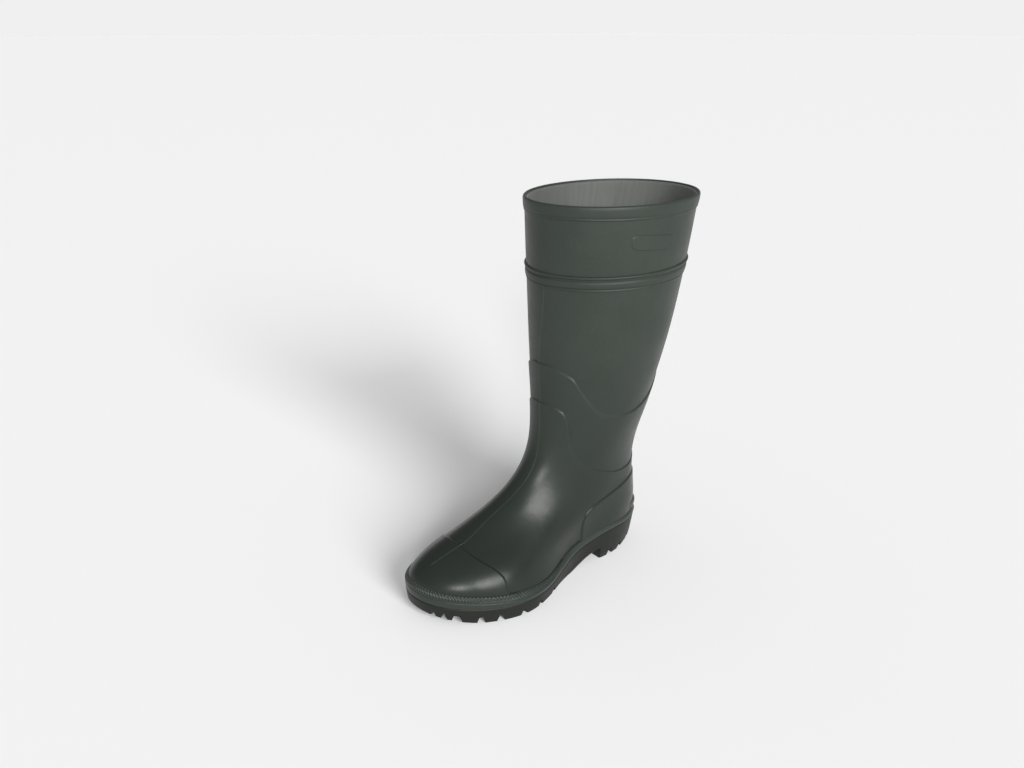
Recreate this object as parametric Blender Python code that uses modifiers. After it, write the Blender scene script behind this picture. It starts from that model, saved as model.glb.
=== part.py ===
"""Rubber rain boot for the left foot, built up from its separate layers.

The boot is modelled in metres, +Z up, with the toe towards -Y and the outer side of
the foot towards +X.  The tables below are in millimetres: "forward" runs from the heel
to the toe, "side" is positive on the outer side and "up" is the height above the ground.
"""
from functools import lru_cache
from math import cos, pi, radians, sin

import bmesh
import bpy
import numpy as np
from mathutils import Matrix, Vector

MM = 0.001

# ------------------------------------------------------------------ driving dimensions
BOOT_HEIGHT = 388.0
OUTSOLE_BACK, OUTSOLE_TIP = -3.0, 284.0
RIM_BACK = -52.0
BAND_STANDOFF = 2.0                          # how far the rim band stands off the leg
MIDDLE = (OUTSOLE_TIP + RIM_BACK - BAND_STANDOFF) / 2   # forward place of the origin

RUBBER = 2.0                                 # wall of the moulded upper
GAP = 0.9                                    # play between layers that touch
LAYER = 1.4                                  # a laid-on rubber layer
COLUMNS = 36                                 # points round the boot

# centre-line profiles of the upper: (forward, up)
FRONT_PROFILE = [(277, 22), (280, 34), (272, 46), (254, 57), (228, 68.5), (199, 81), (171, 97),
                 (150, 117), (137, 141), (131.5, 170), (130.5, 205), (130.5, 245), (131, 290),
                 (133, 340), (135, BOOT_HEIGHT)]
BACK_PROFILE = [(5, 26), (4.5, 44), (4.5, 56), (7.5, 74), (10.5, 95), (10, 115), (5.5, 140),
                (-3, 168), (-12, 205), (-22.5, 250), (-32, 295), (-43, 345), (RIM_BACK, BOOT_HEIGHT)]

# fullness of a level slice at these shares of its length, heel to toe: outer, inner side
SHARES = (0.0, 0.15, 0.38, 0.68, 0.88, 1.0)
FULLNESS = {
    24: ((44, 40.5, 30.5, 63, 70, 76), (60, 43, 29, 49, 61, 64)),
    45: ((46, 42.5, 33.5, 54, 61, 61), (57, 44, 31.5, 45.5, 49, 46)),
    65: ((48, 42, 36.5, 40.5, 40, 38), (52, 42.5, 35, 38.5, 37, 35)),
    90: ((47, 41, 37.5, 34, 31, 30), (47, 41, 37, 34, 32, 31)),
    120: ((44, 41, 39.5, 37, 33, 31), (44, 41, 39.5, 37, 33, 31)),
    170: ((49, 50, 51, 49.5, 46, 44), (49, 50, 51, 49.5, 46, 44)),
    255: ((66, 67, 68, 67, 65, 63), (66, 67, 68, 67, 65, 63)),
    388: ((75, 75, 75, 75, 75, 75), (75, 75, 75, 75, 75, 75)),
}
OUTSOLE_FULLNESS = ((50, 47, 36, 70, 77, 84), (68, 50, 34.5, 55, 71.5, 77))
TOE_SWING = 9.0                              # the toe swings this far to the inner side

# top of the black outsole and its underside, (forward, up)
SOLE_TOP = [(-3, 32.5), (30, 33.3), (60, 33), (80, 29.5), (105, 24), (130, 18), (155, 14.5),
            (190, 15.5), (220, 15.8), (250, 17.4), (285, 20.5)]
HEEL_BREAST = 71.0
ARCH_HEIGHT = 13.0
ARCH_BACK, ARCH_FRONT = 70.0, 118.0
TOE_SPRING_START, TOE_SPRING = 235.0, 9.0
HEEL_UNDERCUT, SOLE_UNDERCUT = 6.0, 2.0      # the sides draw in towards the ground
LUG_DEPTH, LUG_PITCH, GROOVE = 6.0, 20.0, 8.0
HEEL_LUG_PITCH = 17.0
BELOW = 4.0                                  # cutters reach this far under the ground

# edges of the laid-on layers: (degrees round the boot from the toe, up)
ANKLE_EDGE = [(0, 231), (15, 230), (27, 225), (37, 218), (43, 209), (50, 199), (58, 189.5),
              (67, 182.5), (78, 178.5), (90, 177), (99, 177), (110, 180.5), (122, 186),
              (131, 193), (141, 204), (160, 213), (180, 216)]
FOOT_EDGE = [(0, 191), (12, 190.5), (24, 187), (33, 180), (39, 168), (45, 153), (54, 138.5),
             (64, 129), (75, 121.5), (88, 115), (102, 108.5), (117, 104), (132, 102.5),
             (144, 104), (155, 109), (180, 114)]
TOE_CAP_EDGE = [(0, 69), (12, 68), (22, 65), (32, 61), (42, 56), (50, 51), (56, 46), (60, 40)]
COUNTER_EDGE = [(97, 62), (101, 72), (106, 77), (114, 80), (131, 85), (146, 88), (180, 90)]
FOXING_HEIGHT = [(0, 17), (30, 14), (60, 11), (90, 7.5), (120, 5.3), (150, 5), (180, 5)]
FOXING_OUT = [(0, 6.6), (30, 6.2), (60, 5.4), (90, 4.8), (180, 4.6)]
BUMPER_SPAN = 96.0                           # the knurled strip's reach on each side
TRIM_LOW, TRIM_HIGH = 313.0, 321.0
BEAD_UP, BEAD_RADIUS = 324.5, 1.3
RIM_LOW = 376.5

# what lies between the outsole and the foot, as heights above the outsole's top
WELT = (0.8, 2.6)
BOARD = (3.3, 5.1)
SOCK = (5.7, 6.5)
FOAM = (6.9, 10.0)
COVER = (10.4, 11.2)
FOOTBED_BACK, FOOTBED_TIP = 16.0, 262.0
FOOTBED_HINGE = (257.0, 26.5)                # forward, up

GREEN = (0.030, 0.038, 0.034)
DARK_GREEN = (0.022, 0.028, 0.025)
BLACK = (0.008, 0.008, 0.008)


# ------------------------------------------------------------------ shape of the boot
def spline(x, y, at):
    """Natural cubic through (x, y); y may hold a row of values for each x."""
    x, y = np.asarray(x, float), np.asarray(y, float)
    step = np.diff(x)
    slope = np.diff(y, axis=0) / (step if y.ndim == 1 else step[:, None])
    system = np.eye(len(x))
    right = np.zeros_like(y)
    for i in range(1, len(x) - 1):
        system[i, i - 1:i + 2] = step[i - 1], 2 * (step[i - 1] + step[i]), step[i]
        right[i] = 6 * (slope[i] - slope[i - 1])
    bend = np.linalg.solve(system, right)
    at = np.clip(np.asarray(at, float), x[0], x[-1])
    k = np.clip(np.searchsorted(x, at) - 1, 0, len(x) - 2)
    h, a, b = step[k], x[k + 1] - at, at - x[k]
    if y.ndim > 1:
        h, a, b = h[..., None], a[..., None], b[..., None]
    low = bend[k] * a ** 3 / (6 * h) + (y[k] / h - bend[k] * h / 6) * a
    return low + bend[k + 1] * b ** 3 / (6 * h) + (y[k + 1] / h - bend[k + 1] * h / 6) * b


def trace(points, samples=900):
    """A smooth line through points, evenly eased, as an array of samples."""
    points = np.array(points, float)
    along = np.r_[0, np.cumsum(np.linalg.norm(np.diff(points, axis=0), axis=1) ** 0.5)]
    return spline(along, points, np.linspace(0, along[-1], samples))


FRONT = trace(FRONT_PROFILE)
BACK = trace(BACK_PROFILE)
LEVELS = np.array(sorted(FULLNESS), float)
OUTER = np.array([FULLNESS[level][0] for level in sorted(FULLNESS)], float)
INNER = np.array([FULLNESS[level][1] for level in sorted(FULLNESS)], float)


def swing(forward):
    return -TOE_SWING * np.clip((forward - 110) / 170, 0, None) ** 2


def slice_point(angle, up):
    """Outer surface of the bare upper at an angle round the boot and a height."""
    share = (1 + cos(angle)) / 2
    table = OUTER if sin(angle) >= 0 else INNER
    full = spline(SHARES, spline(LEVELS, table, up), share)
    heel = np.interp(up, BACK[:, 1], BACK[:, 0])
    toe = np.interp(up, FRONT[:, 1], FRONT[:, 0])
    forward = heel + (toe - heel) * share
    return Vector((full * sin(angle) + swing(forward), -(forward - MIDDLE), up))


def skin_point(angle, up, out, level=False):
    """A point that stands `out` off the bare upper, in metres; level keeps its height."""
    turn, rise = 0.01, 0.4
    point = slice_point(angle, up)
    round_ = slice_point(angle + turn, up) - slice_point(angle - turn, up)
    climb = slice_point(angle, up + rise) - slice_point(angle, up - rise)
    normal = round_.cross(climb).normalized()
    if normal.dot(Vector((sin(angle), -cos(angle), 0))) < 0:
        normal.negate()
    if level:
        normal = Vector((normal.x, normal.y, 0)).normalized()
    return (point + normal * out) * MM


def edge_height(edge, angle):
    """Height of a layer's edge, the same on both sides of the boot."""
    table = np.array(edge, float)
    return float(spline(table[:, 0], table[:, 1], abs((angle + pi) % (2 * pi) - pi) * 180 / pi))


def sole_forward(angle):
    share = (1 + cos(angle)) / 2
    return OUTSOLE_BACK + (OUTSOLE_TIP - OUTSOLE_BACK) * share


def sole_top(forward):
    table = np.array(SOLE_TOP, float)
    return float(spline(table[:, 0], table[:, 1], forward))


def sole_bottom(forward):
    """Underside: flat tread, a sprung toe and an arch that ends at the heel breast."""
    if forward > TOE_SPRING_START:
        return TOE_SPRING * ((forward - TOE_SPRING_START) / (OUTSOLE_TIP - TOE_SPRING_START)) ** 1.6
    if forward < ARCH_FRONT:
        ease = min(1.0, (ARCH_FRONT - forward) / (ARCH_FRONT - ARCH_BACK))
        return ARCH_HEIGHT * (3 * ease ** 2 - 2 * ease ** 3)
    return 0.0


def sole_edge(angle, inset, up):
    """The outsole's outline, drawn in by inset."""
    share = (1 + cos(angle)) / 2
    table = OUTSOLE_FULLNESS[0 if sin(angle) >= 0 else 1]
    full = float(spline(SHARES, table, share))
    forward = sole_forward(angle)
    point = Vector((full * sin(angle) + float(swing(forward)), -(forward - MIDDLE), up))
    towards = Vector((-sin(angle) * 0.9, cos(angle), 0)).normalized()
    return (point + towards * inset) * MM


def feather(angle):
    """Height of the line where the upper turns under the foot."""
    return sole_top(sole_forward(angle)) + WELT[0]


def upper_height(angle, share):
    """Height on a ring that runs from the feather line (0) to the rim (1).

    At the front the share is a share of the profile's length, and at the back it is a
    share of the height.  The lowest rings also follow the dip of the feather line.
    """
    lengths = np.r_[0, np.cumsum(np.linalg.norm(np.diff(FRONT, axis=0), axis=1))]
    front_up = np.interp(share * lengths[-1], lengths, FRONT[:, 1])
    front = feather(0) + (front_up - FRONT[0, 1]) * (BOOT_HEIGHT - feather(0)) / (
        BOOT_HEIGHT - FRONT[0, 1])
    back = feather(pi) + (BOOT_HEIGHT - feather(pi)) * share
    ahead = (1 + cos(angle)) / 2
    dip = feather(angle) - (feather(pi) * (1 - ahead) + feather(0) * ahead)
    return back * (1 - ahead) + front * ahead + dip * (1 - share) ** 6


SHARE_STEPS = np.linspace(0, 1, 161)
# the upper's rings, closer together where the boot bends more
RINGS = np.concatenate([np.linspace(0, 0.085, 6)[:-1], np.linspace(0.085, 0.42, 14)[:-1],
                        np.linspace(0.42, 1, 8)])


@lru_cache(maxsize=None)
def ring_heights(angle):
    return np.array([upper_height(angle, share) for share in SHARE_STEPS])


def share_at(angle, up):
    """The ring share that has this height at this angle."""
    return float(np.interp(up, ring_heights(angle), SHARE_STEPS))


# ------------------------------------------------------------------ Blender helpers
def clear_scene():
    for old in list(bpy.data.objects):
        bpy.data.objects.remove(old)


def collection(name):
    group = bpy.data.collections.new(name)
    bpy.context.scene.collection.children.link(group)
    return group


def material(name, colour, roughness):
    new = bpy.data.materials.new(name)
    new.use_nodes = True
    shader = new.node_tree.nodes["Principled BSDF"]
    shader.inputs["Base Color"].default_value = (*colour, 1)
    shader.inputs["Roughness"].default_value = roughness
    shader.inputs["Metallic"].default_value = 0.0
    return new


def add_object(name, mesh, look, group):
    part = bpy.data.objects.new(name, mesh)
    colour, roughness = look
    mesh.materials.append(material(name + "_material", colour, roughness))
    mesh.shade_smooth()
    group.objects.link(part)
    return part


def grid_mesh(name, rows, closed):
    """An open surface through rows of points; closed joins each row's ends."""
    mesh = bpy.data.meshes.new(name)
    across = len(rows[0])
    steps = across if closed else across - 1
    faces = [(r * across + c, r * across + (c + 1) % across,
              (r + 1) * across + (c + 1) % across, (r + 1) * across + c)
             for r in range(len(rows) - 1) for c in range(steps)]
    mesh.from_pydata([p for row in rows for p in row], [], faces)
    return mesh


def thicken(part, thickness):
    """Solidify inwards from the outer skin."""
    solid = part.modifiers.new("wall", "SOLIDIFY")
    solid.thickness = thickness * MM
    solid.offset = -1
    solid.use_even_offset = False
    return part


def angles(low=-180.0, high=180.0):
    """Evenly spread angles; the full turn leaves out its repeated end."""
    if high - low >= 360:
        return [2 * pi * c / COLUMNS for c in range(COLUMNS)]
    count = max(4, round((high - low) / 360 * COLUMNS))
    return [radians(low + (high - low) * c / count) for c in range(count + 1)]


def layer(name, group, look, bottom, top, outside, thickness, span=(-180.0, 180.0),
          level=False, rings=None):
    """A layer of the upper: an open skin between two edges, thickened inwards.

    bottom and top give the edges' heights, and outside how far the skin stands off the
    bare upper, each as a function of the angle.  Every layer keeps the upper's own rings,
    and rings past an edge close up onto it.
    """
    closed = span[1] - span[0] >= 360
    columns = []
    for angle in angles(*span):
        low, high = share_at(angle, bottom(angle)), share_at(angle, top(angle))
        shares = np.clip(RINGS if rings is None else rings, low, high)
        heights = np.interp(shares, SHARE_STEPS, ring_heights(angle))
        columns.append([skin_point(angle, up, outside(angle), level) for up in heights])
    mesh = grid_mesh(name, [list(row) for row in zip(*columns)], closed)
    build = bmesh.new()
    build.from_mesh(mesh)
    bmesh.ops.remove_doubles(build, verts=build.verts, dist=0.05 * MM)
    build.to_mesh(mesh)
    build.free()
    return thicken(add_object(name, mesh, look, group), thickness)


def ladder_plate(name, group, look, edge, bottom, top, span=(0.0, 180.0), rungs=18):
    """A plate across the boot: rungs from heel to toe, with curved top and bottom.

    edge(angle) gives the side of the plate; bottom and top give heights at a forward place.
    """
    sections = []
    for c in range(rungs + 1):
        angle = pi - radians(span[0] + (span[1] - span[0]) * c / rungs)
        left, right = edge(angle), edge(-angle)
        forward = MIDDLE - left.y / MM
        low, high = bottom(forward) * MM, top(forward) * MM
        sections.append([(left.x, left.y, low), (right.x, right.y, low),
                         (right.x, right.y, high), (left.x, left.y, high)])
    mesh = grid_mesh(name, sections, True)
    build = bmesh.new()
    build.from_mesh(mesh)
    build.verts.ensure_lookup_table()
    build.faces.new(build.verts[0:4])
    build.faces.new(build.verts[-4:])
    bmesh.ops.recalc_face_normals(build, faces=build.faces)
    build.to_mesh(mesh)
    build.free()
    return add_object(name, mesh, look, group)


def cut(part, cutter):
    trim = part.modifiers.new("cut", "BOOLEAN")
    trim.operation = "DIFFERENCE"
    trim.object = cutter


def join(part, other):
    union = part.modifiers.new("join", "BOOLEAN")
    union.operation = "UNION"
    union.object = other


def hide(cutter):
    cutter.hide_render = True
    cutter.display_type = "WIRE"


# ------------------------------------------------------------------ the upper
def make_upper_shell(group):
    """The moulded rubber upper: foot, ankle and leg in one wall, open at both ends."""
    margin = 9.0
    rows = []
    for share in RINGS:
        rows.append([skin_point(a, upper_height(a, share), 0.0) for a in angles()])
    turned = []
    for angle, point in zip(angles(), rows[0]):
        inward = Vector((-sin(angle) * 0.9, cos(angle), 0)).normalized() * margin * MM
        place = point + inward
        place.z = (sole_top(MIDDLE - place.y / MM) + WELT[0]) * MM
        turned.append(place)
    rows.insert(0, turned)
    part = add_object("upper_shell", grid_mesh("upper_shell", rows, True), (GREEN, 0.42), group)
    return thicken(part, RUBBER)


def make_overlays(group):
    """The raised layers that stiffen the ankle, the foot, the toe and the heel."""
    look = (GREEN, 0.4)
    layer("ankle_overlay", group, look, lambda a: edge_height(FOOT_EDGE, a) + GAP,
          lambda a: edge_height(ANKLE_EDGE, a), lambda a: GAP + 0.9, 0.9)
    layer("foot_overlay", group, look, lambda a: feather(a) + 0.6,
          lambda a: edge_height(FOOT_EDGE, a), lambda a: GAP + LAYER, LAYER)
    on_top = GAP + LAYER + GAP
    foxing_top = lambda a: feather(a) + edge_height(FOXING_HEIGHT, a)
    layer("toe_cap", group, look, lambda a: foxing_top(a) + GAP,
          lambda a: edge_height(TOE_CAP_EDGE, a), lambda a: on_top + 1.0, 1.0, (-60, 60))
    layer("heel_counter", group, look, lambda a: foxing_top(a) + 2 * GAP,
          lambda a: edge_height(COUNTER_EDGE, a), lambda a: on_top + 1.0, 1.0, (100, 260))


def make_bands(group):
    """The strips round the top of the leg and round the foot."""
    look = (DARK_GREEN, 0.4)
    on_top = GAP + LAYER + GAP
    layer("rim_band", group, look, lambda a: RIM_LOW, lambda a: BOOT_HEIGHT,
          lambda a: BAND_STANDOFF, BAND_STANDOFF - GAP)
    layer("trim_band", group, look, lambda a: TRIM_LOW, lambda a: TRIM_HIGH,
          lambda a: GAP + 0.7, 0.7)
    layer("bead_ring", group, look, lambda a: BEAD_UP - BEAD_RADIUS,
          lambda a: BEAD_UP + BEAD_RADIUS, lambda a: GAP + BEAD_RADIUS, BEAD_RADIUS)
    top = lambda a: feather(a) + edge_height(FOXING_HEIGHT, a)
    knurl_low = lambda a: feather(a) + edge_height(FOXING_HEIGHT, a) * 0.5 + 0.3
    full = lambda a: edge_height(FOXING_OUT, a)
    reach = radians(BUMPER_SPAN)

    def foxing_top(angle):
        turn = abs((angle + pi) % (2 * pi) - pi)
        return knurl_low(angle) - 1.5 * GAP if turn < reach + 0.01 else top(angle)

    layer("foxing_strip", group, look, lambda a: feather(a) + 0.2, foxing_top,
          full, 2.0, level=True)
    layer("toe_bumper", group, look, knurl_low, top, full, 2.0,
          (-BUMPER_SPAN + 6, BUMPER_SPAN - 6), level=True)
    layer("kick_off_spur", group, look, lambda a: feather(a) + 9, lambda a: feather(a) + 16,
          lambda a: on_top + 1.0 + GAP + 2.0, 2.0, (150, 210))
    layer("side_pad", group, look, lambda a: 347.0, lambda a: 359.0,
          lambda a: GAP + 0.7, 0.7, (70, 100))


# ------------------------------------------------------------------ inside the upper
def make_lining(group):
    """Textile lining with its seam tape, and the stiffeners hidden behind it."""
    cloth, stiff = ((0.16, 0.16, 0.15), 0.95), ((0.35, 0.28, 0.2), 0.8)
    inner = -RUBBER - GAP
    ankle = 170.0
    layer("toe_puff", group, stiff, lambda a: feather(a) + 8, lambda a: 56 - 16 * abs(a) ** 2,
          lambda a: inner, 0.9, (-50, 50))
    layer("heel_stiffener", group, stiff, lambda a: feather(a) + 8, lambda a: 80.0,
          lambda a: inner, 0.9, (110, 250))
    layer("lining_leg", group, cloth, lambda a: ankle, lambda a: BOOT_HEIGHT - 2,
          lambda a: inner, 0.9)
    layer("lining_foot", group, cloth, lambda a: feather(a) + 7, lambda a: ankle - GAP,
          lambda a: inner - 1.6, 0.9, rings=RINGS[::2])
    layer("lining_ankle_tape", group, cloth, lambda a: ankle - 8, lambda a: ankle + 8,
          lambda a: inner - 1.6 - 0.9 - GAP, 0.5)


def inside_edge(inset):
    """The side of a plate inside the foot."""
    return lambda angle: sole_edge(angle, inset, 0)


def above_sole(height):
    return lambda forward: sole_top(forward) + height


def make_inside_plates(group):
    """Board, filler, shank and heel wedge between the outsole and the foot."""
    board, steel = ((0.32, 0.24, 0.15), 0.9), ((0.5, 0.5, 0.5), 0.35)
    foam = ((0.05, 0.05, 0.05), 0.95)
    ladder_plate("insole_board", group, board, inside_edge(14.5), above_sole(BOARD[0]),
                 above_sole(BOARD[1]), (14, 166))
    ladder_plate("forepart_filler", group, foam, inside_edge(24), above_sole(WELT[0]),
                 above_sole(WELT[1]), (100, 158), 8)
    ladder_plate("heel_wedge", group, foam, inside_edge(24), above_sole(WELT[0]),
                 above_sole(WELT[1]), (26, 58), 5)
    narrow = lambda angle: sole_edge(angle, 27, 0)
    ladder_plate("shank", group, steel, narrow, above_sole(WELT[0]),
                 above_sole(WELT[1]), (61, 94), 8)
    ladder_plate("lining_sock", group, ((0.16, 0.16, 0.15), 0.95), inside_edge(14),
                 above_sole(SOCK[0]), above_sole(SOCK[1]), (15, 165))


# ------------------------------------------------------------------ footbed, which lifts
def make_footbed(group):
    """Loose footbed of foam and cloth, hinged where its tip sits under the toe."""
    hinge = bpy.data.objects.new("footbed_hinge", None)
    hinge.location = (0, -(FOOTBED_HINGE[0] - MIDDLE) * MM, FOOTBED_HINGE[1] * MM)
    group.objects.link(hinge)
    foam = ladder_plate("footbed_foam", group, ((0.09, 0.1, 0.1), 0.9), inside_edge(22),
                        above_sole(FOAM[0]), above_sole(FOAM[1]), (17, 160))
    cover = ladder_plate("footbed_cover", group, ((0.2, 0.2, 0.19), 0.95), inside_edge(22),
                         above_sole(COVER[0]), above_sole(COVER[1]), (17, 160))
    for part in (foam, cover):
        part.parent = hinge
        part.data.transform(Matrix.Translation(-hinge.location))


# ------------------------------------------------------------------ the outsole
def outsole_ring(inset, height):
    ring = []
    for angle in angles():
        point = sole_edge(angle, inset, 0)
        point.z = height(MIDDLE - point.y / MM) * MM
        ring.append(point)
    return ring


def ladder_caps(build, ring):
    """Close a ring of vertices with quads that run across the boot."""
    half = len(ring) // 2
    for c in range(half):
        quad = [ring[c], ring[c + 1], ring[(-c - 1) % len(ring)], ring[-c % len(ring)]]
        build.faces.new(list(dict.fromkeys(quad)))


def lofted_block(name, rings):
    """A closed block through rings that all go once round the boot."""
    mesh = grid_mesh(name, rings, True)
    build = bmesh.new()
    build.from_mesh(mesh)
    build.verts.ensure_lookup_table()
    count = len(rings[0])
    ladder_caps(build, build.verts[0:count])
    ladder_caps(build, build.verts[-count:])
    bmesh.ops.recalc_face_normals(build, faces=build.faces)
    build.to_mesh(mesh)
    build.free()
    return mesh


def heel_block(cutters):
    """The heel: the back of the outline, straight across at the breast."""
    outline = []
    for c in range(15):
        angle = radians(118 + 124 * c / 14)
        outline.append(angle)
    levels = ((0.0, HEEL_UNDERCUT), (10.0, 3.6), (26.0, 1.2))
    rings = [[sole_edge(a, inset, up) for a in outline] for up, inset in levels]
    for ring in rings:
        for point in ring:
            point.y = max(point.y, -(HEEL_BREAST - MIDDLE) * MM)
    mesh = grid_mesh("heel_block", rings, True)
    build = bmesh.new()
    build.from_mesh(mesh)
    build.verts.ensure_lookup_table()
    build.faces.new(build.verts[0:15])
    build.faces.new(build.verts[-15:])
    bmesh.ops.recalc_face_normals(build, faces=build.faces)
    build.to_mesh(mesh)
    build.free()
    block = bpy.data.objects.new("heel_block", mesh)
    cutters.objects.link(block)
    hide(block)
    return block


def groove(build, forward, side, reach, turn, base):
    """One open-ended groove cut up into the sole from its base, narrower at its root."""
    made = bmesh.ops.create_cube(build, size=1)["verts"]
    for corner in made:
        taper = 0.62 if corner.co.z > 0 else 1.0
        corner.co = Vector((corner.co.x * reach, corner.co.y * GROOVE * taper,
                            corner.co.z * (LUG_DEPTH + BELOW)))
    place = Vector((side, -(forward - MIDDLE), base + (LUG_DEPTH - BELOW) / 2))
    bmesh.ops.rotate(build, verts=made, cent=(0, 0, 0), matrix=Matrix.Rotation(turn, 3, "Z"))
    bmesh.ops.translate(build, verts=made, vec=place)
    bmesh.ops.scale(build, verts=made, vec=(MM, MM, MM))


def tread_cutter(cutters):
    """Grooves from each edge of the forepart and of the heel."""
    build = bmesh.new()
    slant = radians(14)
    for side, middle in ((1, 46), (-1, -50)):
        for k in range(6):
            forward = 160 + LUG_PITCH * k
            groove(build, forward, middle, 60, -side * slant, sole_bottom(forward))
        for k in range(3):
            groove(build, 17 + HEEL_LUG_PITCH * k, side * 38, 44, 0, 0.0)
    mesh = bpy.data.meshes.new("tread_cutter")
    build.to_mesh(mesh)
    build.free()
    cutter = bpy.data.objects.new("tread_cutter", mesh)
    cutters.objects.link(cutter)
    hide(cutter)
    return cutter


def make_outsole(group, cutters):
    """Black outsole: a lofted plate with a sprung toe, its heel and the cut tread."""
    low = outsole_ring(SOLE_UNDERCUT, sole_bottom)
    middle = outsole_ring(SOLE_UNDERCUT / 3, lambda f: (sole_bottom(f) + sole_top(f)) / 2)
    high = outsole_ring(0.0, sole_top)
    part = add_object("outsole", lofted_block("outsole", [low, middle, high]), (BLACK, 0.6), group)
    join(part, heel_block(cutters))
    cut(part, tread_cutter(cutters))
    return part


def main():
    clear_scene()
    boot = collection("rain_boot")
    cutters = collection("cutters")
    make_upper_shell(boot)
    make_overlays(boot)
    make_bands(boot)
    make_lining(boot)
    make_inside_plates(boot)
    make_footbed(boot)
    make_outsole(boot, cutters)


main()
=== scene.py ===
"""Rubber rain boot: the fine surfaces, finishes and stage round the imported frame."""

import bmesh
import bpy
import numpy as np
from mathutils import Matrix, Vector


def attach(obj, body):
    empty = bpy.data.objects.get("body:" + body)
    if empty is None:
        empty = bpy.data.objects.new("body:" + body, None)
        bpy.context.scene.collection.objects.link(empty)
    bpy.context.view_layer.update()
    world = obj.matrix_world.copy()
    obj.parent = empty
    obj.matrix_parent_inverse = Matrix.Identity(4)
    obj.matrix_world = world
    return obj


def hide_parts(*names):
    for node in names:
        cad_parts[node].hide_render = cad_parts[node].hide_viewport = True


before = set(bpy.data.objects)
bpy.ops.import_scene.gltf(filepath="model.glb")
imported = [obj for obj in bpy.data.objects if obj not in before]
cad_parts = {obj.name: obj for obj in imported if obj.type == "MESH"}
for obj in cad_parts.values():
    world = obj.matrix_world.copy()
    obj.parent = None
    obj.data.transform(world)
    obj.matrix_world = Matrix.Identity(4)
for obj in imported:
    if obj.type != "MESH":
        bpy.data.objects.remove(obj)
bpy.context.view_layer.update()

bl_info = {
    "name": "Rubber rain boot",
    "version": (1, 0, 0),
    "blender": (4, 5, 0),
    "location": "View3D > Sidebar > Rain boot",
    "description": "Builds a lined rubber rain boot piece by piece",
    "category": "Add Mesh",
}

MM = 0.001
RING_POINTS = 360                        # points round the boot on the large pieces
BOOT_TOP = 388.0                         # height of the rim
OUTSOLE_BACK, OUTSOLE_TIP = -3.0, 284.0  # forward places of the outsole's ends
MIDDLE = 115.0                           # forward place of the frame's origin

# ------------------------------------------------------------------ lines of the boot
# The lines are in millimetres, as in the frame's design: forward from the heel to the
# toe, side towards the outer side of the foot, up from the ground.
FRONT_PROFILE = [(277, 22), (280, 34), (272, 46), (254, 57), (228, 68.5), (199, 81),
                 (171, 97), (150, 117), (137, 141), (131.5, 170), (130.5, 205), (130.5, 245),
                 (131, 290), (133, 340), (135, BOOT_TOP)]
BACK_PROFILE = [(5, 26), (4.5, 44), (4.5, 56), (7.5, 74), (10.5, 95), (10, 115), (5.5, 140),
                (-3, 168), (-12, 205), (-22.5, 250), (-32, 295), (-43, 345), (-52, BOOT_TOP)]
# Half-widths of the ovals: a row for each level up the boot, a column for each share of
# the way from heel to toe. The sole has one row for the outer side and one for the inner.
SHARES = (0.0, 0.15, 0.38, 0.68, 0.88, 1.0)
LEVELS = (24, 45, 65, 90, 120, 170, 255, 388)
OUTER_FULLNESS = ((44, 40.5, 30.5, 63, 70, 76), (46, 42.5, 33.5, 54, 61, 61),
                  (48, 42, 36.5, 40.5, 40, 38), (47, 41, 37.5, 34, 31, 30),
                  (44, 41, 39.5, 37, 33, 31), (49, 50, 51, 49.5, 46, 44),
                  (66, 67, 68, 67, 65, 63), (75, 75, 75, 75, 75, 75))
INNER_FULLNESS = ((60, 43, 29, 49, 61, 64), (57, 44, 31.5, 45.5, 49, 46),
                  (52, 42.5, 35, 38.5, 37, 35), (47, 41, 37, 34, 32, 31),
                  (44, 41, 39.5, 37, 33, 31), (49, 50, 51, 49.5, 46, 44),
                  (66, 67, 68, 67, 65, 63), (75, 75, 75, 75, 75, 75))
SOLE_FULLNESS = ((50, 47, 36, 70, 77, 84), (68, 50, 34.5, 55, 71.5, 77))
TOE_SWING, SWING_START, SWING_LENGTH = 9.0, 110.0, 170.0   # the toe turns to the inner side
SOLE_TOP = [(-3, 32.5), (30, 33.3), (60, 33), (80, 29.5), (105, 24), (130, 18), (155, 14.5),
            (190, 15.5), (220, 15.8), (250, 17.4), (285, 20.5)]
WELT = 0.8                               # gap between the sole's top and the upper's turn
LEG_WALL = 2.0                           # thickness of the rubber of the leg
LASTING_MARGIN = 9.0                     # width of the upper turned in under the foot

# edges of the layers: (degrees round the boot from the toe, up)
ANKLE_EDGE = [(0, 231), (15, 230), (27, 225), (37, 218), (43, 209), (50, 199), (58, 189.5),
              (67, 182.5), (78, 178.5), (90, 177), (99, 177), (110, 180.5), (122, 186),
              (131, 193), (141, 204), (160, 213), (180, 216)]
FOOT_EDGE = [(0, 191), (12, 190.5), (24, 187), (33, 180), (39, 168), (45, 153), (54, 138.5),
             (64, 129), (75, 121.5), (88, 115), (102, 108.5), (117, 104), (132, 102.5),
             (144, 104), (155, 109), (180, 114)]
TOE_CAP_EDGE = [(59.5, 16), (59.3, 29), (58.8, 36), (57, 42), (54.5, 45.7), (50, 49.8),
                (43, 54), (35, 57.8), (25, 61.4), (12, 64.6), (0, 65.3)]
COUNTER_EDGE = [(107.5, 28), (106.5, 40), (103.3, 52), (100, 62.5), (99, 69), (101, 73.7),
                (106, 77.5), (114, 80.5), (131, 85), (146, 88), (163, 89.5), (180, 90)]
FOXING_HEIGHT = [(0, 17), (30, 14), (60, 11), (90, 7.5), (120, 5.3), (150, 5), (180, 5)]
PARTING_LINE = [(4, 388), (3, 300), (-3, 235), (0, 201), (5, 160), (9, 140), (13, 121),
                (12.5, 103), (11, 87), (12, 78), (16, 68), (13, 60), (6, 46), (4, 36)]


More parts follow.
